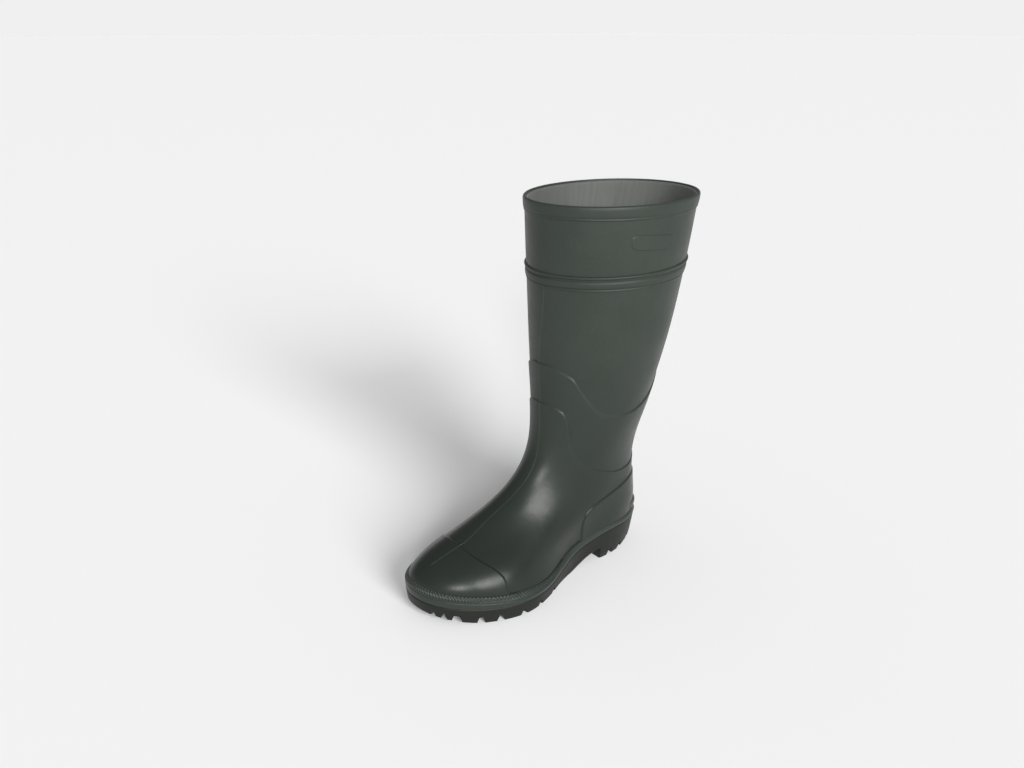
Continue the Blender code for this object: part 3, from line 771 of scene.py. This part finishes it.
# pitch along the outline of the knurl's slanted ribs and dashes, and of the side ribs
HATCH_PITCH, DASH_PITCH, RIB_PITCH = 3.1, 3.7, 2.9
SPUR_RISE = 3.5                          # how far the heel spur stands out


def outermost(angle):
    """Stand-off of the layer that shows just above the foxing: the foot layer, and the
    toe cap within 64 degrees of the toe or the counter past 107."""
    caps = smooth((64 - fold(angle)) / 3) + smooth((fold(angle) - 90) / 17)
    return size("foot_step") + (size("cap_step") - size("foot_step")) * caps


def foxing_levels(angle):
    """Bottom, knurl line and top of the green strip round the foot."""
    low = feather(angle) - WELT + 0.1
    top = low + edge_height(FOXING_HEIGHT, angle) + WELT
    reach = 1 - smooth((fold(angle) - 84) / 10)
    return low, top - (top - low) * KNURL_SHARE * reach, top


def foxing_face(angle, share, out):
    """Face of the strip at a share of its height: it starts on the sole's outline, bows
    out a little and leans in to the upper, out being a further stand-off."""
    low, _, top = foxing_levels(angle)
    up = low + (top - low) * share
    plan, normal = sole_outline(angle)
    lean = np.clip((share - 0.25) / 0.75, 0, 1) ** 1.4
    bow = out + 0.7 * np.sin(np.pi * np.clip(share, 0, 1)) - 0.2
    outside = plan[None] + normal[None] * bow[..., None]
    ledge = 0.7 + 2.4 * np.clip(-np.sin(angle), 0, 1) * smooth((80 - fold(angle)) / 20)
    inside = skin(angle[None, :] + 0 * up, up, (outermost(angle) + ledge)[None, :] + out)
    flat = outside + (inside[..., :2] - outside) * lean[..., None]
    return np.concatenate([flat, up[..., None]], -1), normal


def foxing_section(angle, shares, out):
    """Outer face and the buried back of a strip, as rows of points round the foot."""
    face, normal = foxing_face(angle, shares, out)
    back = face.copy()
    back[..., :2] -= normal[None] * 3.2
    return face, back


class BOOT_OT_foxing(bpy.types.Operator):
    """Green foxing strip, knurled toe strip and heel spur"""
    bl_idname = "boot.foxing"
    bl_label = "Strips round the foot"

    def execute(self, context):
        knurl, finish = size("knurl"), finish_for("band")
        angle = full_turn(2000)
        low, line, top = foxing_levels(angle)
        until = ((line - low) / (top - low))[None, :]
        rows = np.concatenate([[0.0, 0.02, 0.06], np.linspace(0.12, 0.88, 14),
                               [0.93, 0.97, 0.99, 1.0]])[:, None]
        shares = rows * until
        run = self.run(angle)
        height = (top - low)[None, :] * (1 - shares)
        rib = np.clip(0.5 + 0.9 * np.cos(2 * np.pi * run[None, :] / RIB_PITCH), 0, 1)
        side = smooth((fold(angle) - 92) / 4) * (1 - smooth((fold(angle) - 140) / 15))
        out = knurl * 0.5 * rib * side[None, :] * smooth((height - 1.2) / 0.8)
        out = out * smooth((shares - 0.3) / 0.15)
        ends = np.where(rows < 0.06, 0.5 * (1 - rows / 0.06), 0.0)
        ends = ends + 0.55 * smooth((rows - 0.9) / 0.1)
        face, back = foxing_section(angle, shares, out - ends)
        piece = belt("boot_foxing", np.concatenate([face, back[::-6]]), finish)
        place(piece, "boot", "band_rubber", "foxing_strip")
        self.knurled(knurl, finish)
        self.spur(finish_for("layer"))
        return {"FINISHED"}

    def run(self, angle):
        """Length along the sole's outline up to each angle."""
        plan, _ = sole_outline(angle)
        return np.r_[0, np.cumsum(np.linalg.norm(np.diff(plan, axis=0), axis=1))]

    def knurled(self, knurl, finish):
        """Strip round the toe. Below a row of dashes its face carries slanted ribs that
        meet in the middle: a wave of the run along the edge, sheared by the height."""
        angle = np.radians(np.linspace(-94, 94, 1650))
        low, line, top = foxing_levels(angle)
        rows = np.linspace(0, 1, 27)[:, None]
        start = ((line - low) / (top - low))[None, :]
        shares = start + (1 - start) * rows
        run = self.run(angle)[None, :]
        shear = np.abs(rows - 0.42) * 2.2
        wave = np.clip(0.5 + 0.75 * np.cos(2 * np.pi * (run / HATCH_PITCH + shear)), 0, 1)
        hatch = knurl * wave * smooth((rows - 0.06) / 0.08) * smooth((0.76 - rows) / 0.06)
        dash = np.clip(0.5 + 1.1 * np.cos(2 * np.pi * run / DASH_PITCH), 0, 1)
        dash = knurl * 1.5 * dash * smooth((rows - 0.81) / 0.04) * smooth((0.95 - rows) / 0.04)
        ends = 0.7 * smooth((rows - 0.93) / 0.07) + 0.45 * smooth((0.04 - rows) / 0.04)
        face, back = foxing_section(angle, shares, hatch + dash - ends)
        piece = patch("boot_toe_strip", face[::-1], back[::-1], finish)
        place(piece, "boot", "band_rubber", "toe_bumper")

    def spur(self, finish):
        """Heel ledge: a half-round rib that dies away at both ends."""
        across = np.linspace(-1, 1, 120)[None, :]
        along = np.linspace(-1, 1, 22)[:, None]
        angle = np.pi + across * np.radians(34)
        up = feather(angle) + 11.5 + 4.5 * along + 0 * across
        rise = np.sqrt(np.clip(1 - along ** 2, 0, 1)) * (1 - np.abs(across) ** 2.5)
        step = size("cap_step")
        piece = patch("boot_heel_spur", skin(angle, up, step - 0.2 + SPUR_RISE * rise),
                      skin(angle, up, step - 0.7 + 0 * rise), finish)
        place(piece, "boot", "band_rubber", "kick_off_spur")


# ------------------------------------------------------------------ outsole
HEEL_BREAST = 71.0                       # forward place of the heel's front face
ARCH_HEIGHT, ARCH_BACK, ARCH_FRONT = 13.0, 70.0, 118.0
SPRING_START, SPRING_RISE = 235.0, 9.0   # where the toe starts to lift, and how far
# grooves of the forepart: degrees round the outline and half width in mm
TREAD_GROOVES = ((17.2, 2.8), (24.2, 3.0), (32, 5.0), (45, 3.9), (54.7, 3.7), (66.3, 3.7),
                 (76, 3.6), (86, 3.4))
# grooves of the heel: their forward places, half width, length and start from the middle
HEEL_GROOVES = {"forward": (20.0, 38.0, 56.0), "half": 3.9, "length": 24.0, "start": 40.0}
GROOVE_WALL, GROOVE_END, GROOVE_LEAD = 2.2, 2.0, 9.0     # slopes, and the run past the edge
# chevrons in the middle: pitch, how far forwards they run at the rim, half width, slope
# and depth, then where they end at the back, at the front and as a share aside
CHEVRON = {"pitch": 15, "sweep": 22, "half": 2.8, "wall": 1.6, "depth": 3.0}
CHEVRON_BACK, CHEVRON_FRONT, CHEVRON_SIDE = 155, 259, 0.44


def ground(forward):
    """Underside without its grooves: heel on the ground up to the breast, then the arch,
    the flat forepart and the sprung toe."""
    spring = np.clip((forward - SPRING_START) / (OUTSOLE_TIP - SPRING_START), 0, 1)
    ease = smooth((ARCH_FRONT - forward) / (ARCH_FRONT - ARCH_BACK))
    base = SPRING_RISE * spring ** 1.6 + ARCH_HEIGHT * ease
    return base * smooth((forward - HEEL_BREAST + 0.4) / 0.8)


def groove_depth(points):
    """Depth of the tread's grooves, 0 to 1: trapezoid cuts that run in from the edge,
    square to it round the toe and slanted forwards along the sides."""
    turn, half_width = np.array(TREAD_GROOVES).T
    forepart = np.radians(np.r_[turn, -turn])
    start, normal = sole_outline(forepart)
    slant = np.radians(16) * smooth((fold(forepart) - 35) / 25) * np.sign(forepart)
    cosine, sine = np.cos(slant)[:, None], np.sin(slant)[:, None]
    aim = -normal * cosine + normal[:, ::-1] * (1, -1) * sine
    length = 17 + 13 * smooth((fold(forepart) - 30) / 20)
    heel = np.array([(side * HEEL_GROOVES["start"], MIDDLE - forward)
                     for forward in HEEL_GROOVES["forward"] for side in (1, -1)])
    start = np.concatenate([start, heel])
    aim = np.concatenate([aim, np.stack([-np.sign(heel[:, 0]), 0 * heel[:, 0]], -1)])
    length = np.r_[length, np.full(len(heel), HEEL_GROOVES["length"])]
    half = np.r_[half_width, half_width, np.full(len(heel), HEEL_GROOVES["half"])]
    depth = np.zeros(points.shape[:-1])
    for origin, along, reach, width in zip(start, aim, length, half):
        offset = points - origin
        run = offset @ along
        gap = np.abs(offset @ np.array([-along[1], along[0]]))
        ends = smooth((reach - run) / GROOVE_END) * (run > -GROOVE_LEAD)
        depth = np.maximum(depth, np.clip((width - gap) / GROOVE_WALL, 0, 1) * ends)
    return depth


def chevron_depth(points, across):
    """Depth of the shallow chevrons in the middle of the forepart, in mm: a trapezoid
    wave of the forward place less the sweep, which grows aside, faded out at the ends."""
    forward = MIDDLE - points[..., 1]
    aside = np.abs(2 * across[..., 0] - 1)
    pitch = CHEVRON["pitch"]
    phase = (forward - CHEVRON["sweep"] * aside) % pitch - pitch / 2
    wave = np.clip((CHEVRON["half"] - np.abs(phase)) / CHEVRON["wall"], 0, 1)
    extent = smooth((forward - CHEVRON_BACK) / 1.5) * smooth((CHEVRON_FRONT - forward) / 3)
    return CHEVRON["depth"] * wave * extent * smooth((CHEVRON_SIDE - aside) / 0.05)


def side_inset(forward, up):
    """How far the sole's side draws in at a height: more at the heel than elsewhere."""
    heel = np.interp(up, (0, 10, 26, 34), (6.0, 3.6, 1.2, 0.0))
    heel = heel * (1 - 0.55 * smooth((forward - 15) / 55))
    fore = 2.0 * np.clip((sole_top(forward) - up) / 15, 0, 1) ** 1.3
    return fore + (heel - fore) * (1 - smooth((forward - 70) / 40))


class BOOT_OT_outsole(bpy.types.Operator):
    """Black outsole with its heel, arch and lugged tread"""
    bl_idname = "boot.outsole"
    bl_label = "Outsole"

    def execute(self, context):
        """Stations from heel to toe, each a closed section: across the tread, up one
        side, back across the top and down the other side."""
        lugs = size("lug_depth")
        angle = np.linspace(np.pi, 0, 680)
        rise = np.r_[0, 0.04, np.linspace(0.1, 0.92, 10), 0.96, 1.0][:, None]
        forward = sole_forward(angle)
        top = sole_top(forward)

        def side(plan, normal):
            inset = side_inset(forward, ground(forward)) + 0.9
            edge = plan - normal * inset[:, None]
            low = ground(MIDDLE - edge[:, 1]) + lugs * groove_depth(edge)
            up = low + (top - low) * rise
            draw = side_inset(forward, up)
            draw = draw + 0.9 * (1 - smooth(rise / 0.1)) + 0.5 * smooth((rise - 0.94) / 0.06)
            flat = plan[None] - normal[None] * draw[..., None]
            return np.concatenate([flat, up[..., None]], -1)

        outer, inner = side(*sole_outline(angle)), side(*sole_outline(-angle))
        across = np.linspace(0, 1, 110)[1:-1, None, None]
        tread = inner[0] + (outer[0] - inner[0]) * across
        depth = np.maximum(lugs * groove_depth(tread[..., :2]), chevron_depth(tread, across))
        tread[..., 2] = ground(MIDDLE - tread[..., 1]) + depth
        across = np.linspace(0, 1, 12)[1:-1, None, None]
        cover = outer[-1] + (inner[-1] - outer[-1]) * across
        loop = np.concatenate([tread, outer, cover, inner[::-1]], 0)
        faces = grid_faces(*loop.shape[:2], True, False)
        piece = clean(add_mesh("boot_outsole", loop, faces, finish_for("sole")))
        piece.data.set_sharp_from_angle(angle=np.radians(35))
        place(piece, "boot", "sole_rubber", "outsole")
        return {"FINISHED"}


# ------------------------------------------------------------------ parting line
class BOOT_OT_parting_line(bpy.types.Operator):
    """Thin flash left by the mould down the front of the boot"""
    bl_idname = "boot.parting_line"
    bl_label = "Parting line"

    def execute(self, context):
        """A low ridge, a cosine across its width, on whichever layer is outermost."""
        ankle_step, foot_step, cap_step = (
            size(name) for name in ("ankle_step", "foot_step", "cap_step"))
        line = trace(PARTING_LINE, 700)[::-1]
        angle, up = np.radians(line[:, 0]), line[:, 1]
        keep = (up > 50) & (up < 311 - BAND_DIP)
        angle, up = angle[keep], up[keep]
        stand = ankle_step * smooth((edge_height(ANKLE_EDGE, angle) - up) / 2.6)
        stand += (foot_step - ankle_step) * smooth((edge_height(FOOT_EDGE, angle) - up) / 2.6)
        stand += (cap_step - foot_step) * smooth((65.8 - up) / 1.6)
        base = skin(angle, up, stand)
        normal = skin_normals(angle, up)
        along = np.gradient(base, axis=0)
        along /= np.linalg.norm(along, axis=-1, keepdims=True)
        aside = np.cross(along, normal)
        across = np.linspace(-1, 1, 7)[:, None, None]
        lift = 0.16 * (0.5 + 0.5 * np.cos(np.pi * across)) - 0.06
        outer = base[None] + aside[None] * across * 0.45 + normal[None] * lift
        inner = base[None] + aside[None] * across * 0.45 - normal[None] * 0.3
        piece = patch("boot_parting_line", outer, inner, finish_for("flash"))
        place(piece, "boot", "overlay_rubber")
        return {"FINISHED"}


# ------------------------------------------------------------------ inside
LINING_JOINT = 170.0                     # height where the leg's lining meets the foot's
# stand-off of each cloth's outer and inner face from the bare upper
LEG_CLOTH, FOOT_CLOTH, TAPE = (-2.2, -3.1), (-4.4, -5.3), (-5.9, -6.5)
# plates under the foot: drawn in from the sole's outline, low and high above its top
SOCK = {"inset": 14.0, "low": 5.7, "high": 6.5}
FOAM = {"inset": 22.2, "low": 6.95, "high": 9.95, "crown": 0.5, "skive": 1.5}
COVER = {"inset": 22.2, "low": 10.3, "high": 11.1, "crown": 0.5}


class BOOT_OT_lining(bpy.types.Operator):
    """Knitted lining of the leg and foot, and its ankle tape"""
    bl_idname = "boot.lining"
    bl_label = "Lining"

    def execute(self, context):
        angle = full_turn()
        up = np.linspace(LINING_JOINT, BOOT_TOP - 1.6, 90)[:, None] + 0 * angle
        leg = self.sleeve("boot_lining_leg", angle, up, LEG_CLOTH, (1.0, 2.0), "lining_leg")
        share = np.linspace(0, 1, 90)[:, None]
        low = share_of(angle, feather(angle) + 7.0)
        high = share_of(angle, LINING_JOINT - 0.6 + 0 * angle)
        up = ring_up(angle[None, :], low + (high - low) * share)
        foot = self.sleeve("boot_lining_foot", angle, up, FOOT_CLOTH, (1.0, 2.0), "lining_foot")
        up = np.linspace(LINING_JOINT - 8, LINING_JOINT + 8, 9)[:, None] + 0 * angle
        tape = self.sleeve("boot_lining_tape", angle, up, TAPE, (1.0, 0.2),
                           "lining_ankle_tape")
        return {"FINISHED"}

    def sleeve(self, name, angle, up, faces, uv, node):
        """A closed sleeve of cloth between two stand-offs from the bare upper."""
        outer, inner = (skin(angle[None, :], up, out) for out in faces)
        loop = np.concatenate([outer, inner[::-1]], 0)
        return place(belt(name, loop, finish_for("lining"), uv), "boot", "lining", node)


def plate_loop(inset, low, high, crown, skive):
    """Sections of a plate inside the foot, from heel to toe: its outline is the sole's
    drawn in by inset, its faces lie low and high above the sole's top, and the upper one
    rises towards its rim by crown. The lower one rises by skive under the toe, so that the
    plate clears what it lies on when its heel is lifted."""
    angle = np.linspace(np.pi, 0, 240)
    across = np.linspace(0, 1, 40)[:, None, None]

    def edge(angle):
        plan, normal = sole_outline(angle)
        return plan - normal * inset

    flat = edge(-angle)[None] + (edge(angle) - edge(-angle))[None] * across
    base = sole_top(MIDDLE - flat[..., 1])
    rim = np.abs(2 * across[..., 0] - 1) ** 3 * (1 - 0 * angle)
    rim = np.maximum(rim, np.clip(1 - np.sin(angle) * 1.4, 0, 1) ** 2 * smooth(angle - 1.6))
    rounded = 0.35 * (high - low) * (np.abs(2 * across[..., 0] - 1) > 0.999)
    upper = np.concatenate([flat, (base + high + crown * rim - rounded)[..., None]], -1)
    under = crown * rim * 0.5 + skive * smooth((MIDDLE - flat[..., 1] - 244) / 16)
    lower = np.concatenate([flat, (base + low + under)[..., None]], -1)
    return np.concatenate([upper, lower[::-1]], 0)


def make_plate(name, finish, inset, low, high, crown=0.0, skive=0.0):
    """A closed plate with a UV that runs round its sections and along the foot."""
    loop = plate_loop(inset, low, high, crown, skive)
    faces = grid_faces(*loop.shape[:2], True, False)
    uv = grid_uv(*loop.shape[:2], True, False, 2.0, 1.0)
    return clean(add_mesh(name, loop, faces, finish, uv))


class BOOT_OT_footbed(bpy.types.Operator):
    """Sock lining and the loose footbed: a foam plate with a knitted cover"""
    bl_idname = "boot.footbed"
    bl_label = "Sock and footbed"

    def execute(self, context):
        sock = make_plate("boot_sock_lining", finish_for("lining"), **SOCK)
        place(sock, "boot", "lining", "lining_sock")
        foam = make_plate("boot_footbed_foam", finish_for("foam"), **FOAM)
        place(foam, "footbed", "foam", "footbed_foam")
        cover = make_plate("boot_footbed_cover", finish_for("footbed"), **COVER)
        place(cover, "footbed", "footbed_cloth", "footbed_cover")
        return {"FINISHED"}


# the stiff parts inside the boot that keep their own shape, and their finishes
HIDDEN_PARTS = {"insole_board": "board", "forepart_filler": "cork", "heel_wedge": "cork",
                "shank": "steel", "toe_puff": "stiffener", "heel_stiffener": "stiffener"}


class BOOT_OT_hidden_parts(bpy.types.Operator):
    """Finishes of the board, fillers, shank and stiffeners inside the boot"""
    bl_idname = "boot.hidden_parts"
    bl_label = "Hidden parts"

    def execute(self, context):
        for name, kind in HIDDEN_PARTS.items():
            for material_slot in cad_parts[name].material_slots:
                material_slot.material = finish_for(kind)
        return {"FINISHED"}


# ------------------------------------------------------------------ stage
# the camera stands at an azimuth from the toe towards the outer side, and looks at a
# place this far forward, turned a little aside and pitched down (degrees and metres)
CAMERA = {"azimuth": 49.7, "turn": 1.95, "distance": 0.850, "height": 0.539, "pitch": 21.3,
          "lens": 32.3, "aim_forward": 0.130}
# soft far lights: azimuth and elevation, spread in degrees, and strength
WINDOWS = {"side_window": (82, 24, 26, 3.5), "front_window": (50, 20, 13, 1.6)}
# strength of the studio's walls and ceiling, by the sine of the height looked at
WALLS = {"From Min": 0.03, "From Max": 0.22, "To Min": 0.87, "To Max": 0.34}
FLOOR_REACH, FLOOR_DROP = 60.0, 0.0002   # half the floor's width, and its gap below, in m


class BOOT_OT_stage(bpy.types.Operator):
    """Pale floor, soft lights and the camera"""
    bl_idname = "boot.stage"
    bl_label = "Stage"

    def execute(self, context):
        self.floor()
        self.lights()
        self.camera(context)
        return {"FINISHED"}

    def floor(self):
        corners = np.array([(-1, -1, 0), (1, -1, 0), (1, 1, 0), (-1, 1, 0)]) * FLOOR_REACH
        corners = (corners - (0, 0, FLOOR_DROP)) / MM
        g = Graph("floor_paint")
        g.finish(Base_Color=(0.92, 0.92, 0.92, 1), Roughness=0.9)
        floor = add_mesh("floor", corners, np.array([[0, 1, 2, 3]]), g.material)

    def lights(self):
        """Pale walls that darken upwards, and the two windows."""
        world = bpy.data.worlds.new("studio")
        world.use_nodes = True
        nodes, links = world.node_tree.nodes, world.node_tree.links
        sky = nodes["Background"]
        sky.inputs["Color"].default_value = (1.0, 1.0, 1.0, 1)
        direction = nodes.new("ShaderNodeTexCoord")
        split = nodes.new("ShaderNodeSeparateXYZ")
        fall = nodes.new("ShaderNodeMapRange")
        for socket, value in WALLS.items():
            fall.inputs[socket].default_value = value
        links.new(direction.outputs["Generated"], split.inputs["Vector"])
        links.new(split.outputs["Z"], fall.inputs["Value"])
        links.new(fall.outputs["Result"], sky.inputs["Strength"])
        bpy.context.scene.world = world
        for name, window in WINDOWS.items():
            self.sun(name, *window)

    def sun(self, name, azimuth, elevation, spread, strength):
        """A soft far light; azimuth turns from the toe towards the outer side."""
        turn, rise = np.radians(azimuth), np.radians(elevation)
        towards = Vector((np.sin(turn) * np.cos(rise), -np.cos(turn) * np.cos(rise),
                          np.sin(rise)))
        data = bpy.data.lights.new(name, "SUN")
        data.angle, data.energy = np.radians(spread), strength
        lamp = bpy.data.objects.new(name, data)
        lamp.rotation_euler = towards.to_track_quat("Z", "Y").to_euler()
        bpy.context.scene.collection.objects.link(lamp)

    def camera(self, context):
        azimuth = np.radians(CAMERA["azimuth"])
        look = azimuth + np.radians(CAMERA["turn"])
        pitch = np.radians(CAMERA["pitch"])
        aim_y = MIDDLE * MM - CAMERA["aim_forward"]
        data = bpy.data.cameras.new("camera")
        data.lens, data.sensor_width, data.clip_end = CAMERA["lens"], 36.0, 200.0
        camera = bpy.data.objects.new("camera", data)
        camera.location = (np.sin(azimuth) * CAMERA["distance"],
                           aim_y - np.cos(azimuth) * CAMERA["distance"], CAMERA["height"])
        direction = Vector((-np.sin(look) * np.cos(pitch), np.cos(look) * np.cos(pitch),
                            -np.sin(pitch)))
        camera.rotation_euler = direction.to_track_quat("-Z", "Y").to_euler()
        context.scene.collection.objects.link(camera)
        context.scene.camera = camera
        context.scene.view_settings.view_transform = "Standard"


# ------------------------------------------------------------------ panel and start
class BOOT_PT_panel(bpy.types.Panel):
    """Sidebar panel with one button per group of pieces"""
    bl_idname = "BOOT_PT_panel"
    bl_label = "Rain boot"
    bl_space_type = "VIEW_3D"
    bl_region_type = "UI"
    bl_category = "Rain boot"

    def draw(self, context):
        for group in (context.scene.boot_look, context.scene.boot_sizes):
            for name in group.bl_rna.properties.keys():
                if name not in {"rna_type", "name"}:
                    self.layout.prop(group, name)
        for operator in OPERATORS:
            self.layout.operator(operator.bl_idname)


OPERATORS = (BOOT_OT_stage, BOOT_OT_upper, BOOT_OT_bands, BOOT_OT_foxing, BOOT_OT_outsole,
             BOOT_OT_parting_line, BOOT_OT_lining, BOOT_OT_footbed, BOOT_OT_hidden_parts)
CLASSES = (BootLook, BootSizes, *OPERATORS, BOOT_PT_panel)


def register():
    for item in CLASSES:
        bpy.utils.register_class(item)
    bpy.types.Scene.boot_look = bpy.props.PointerProperty(type=BootLook)
    bpy.types.Scene.boot_sizes = bpy.props.PointerProperty(type=BootSizes)


def unregister():
    del bpy.types.Scene.boot_sizes
    del bpy.types.Scene.boot_look
    for item in reversed(CLASSES):
        bpy.utils.unregister_class(item)


def main():
    register()
    bpy.ops.boot.stage()
    bpy.ops.boot.upper()
    bpy.ops.boot.bands()
    bpy.ops.boot.foxing()
    bpy.ops.boot.outsole()
    bpy.ops.boot.parting_line()
    bpy.ops.boot.lining()
    bpy.ops.boot.footbed()
    bpy.ops.boot.hidden_parts()


if __name__ == "__main__":
    main()
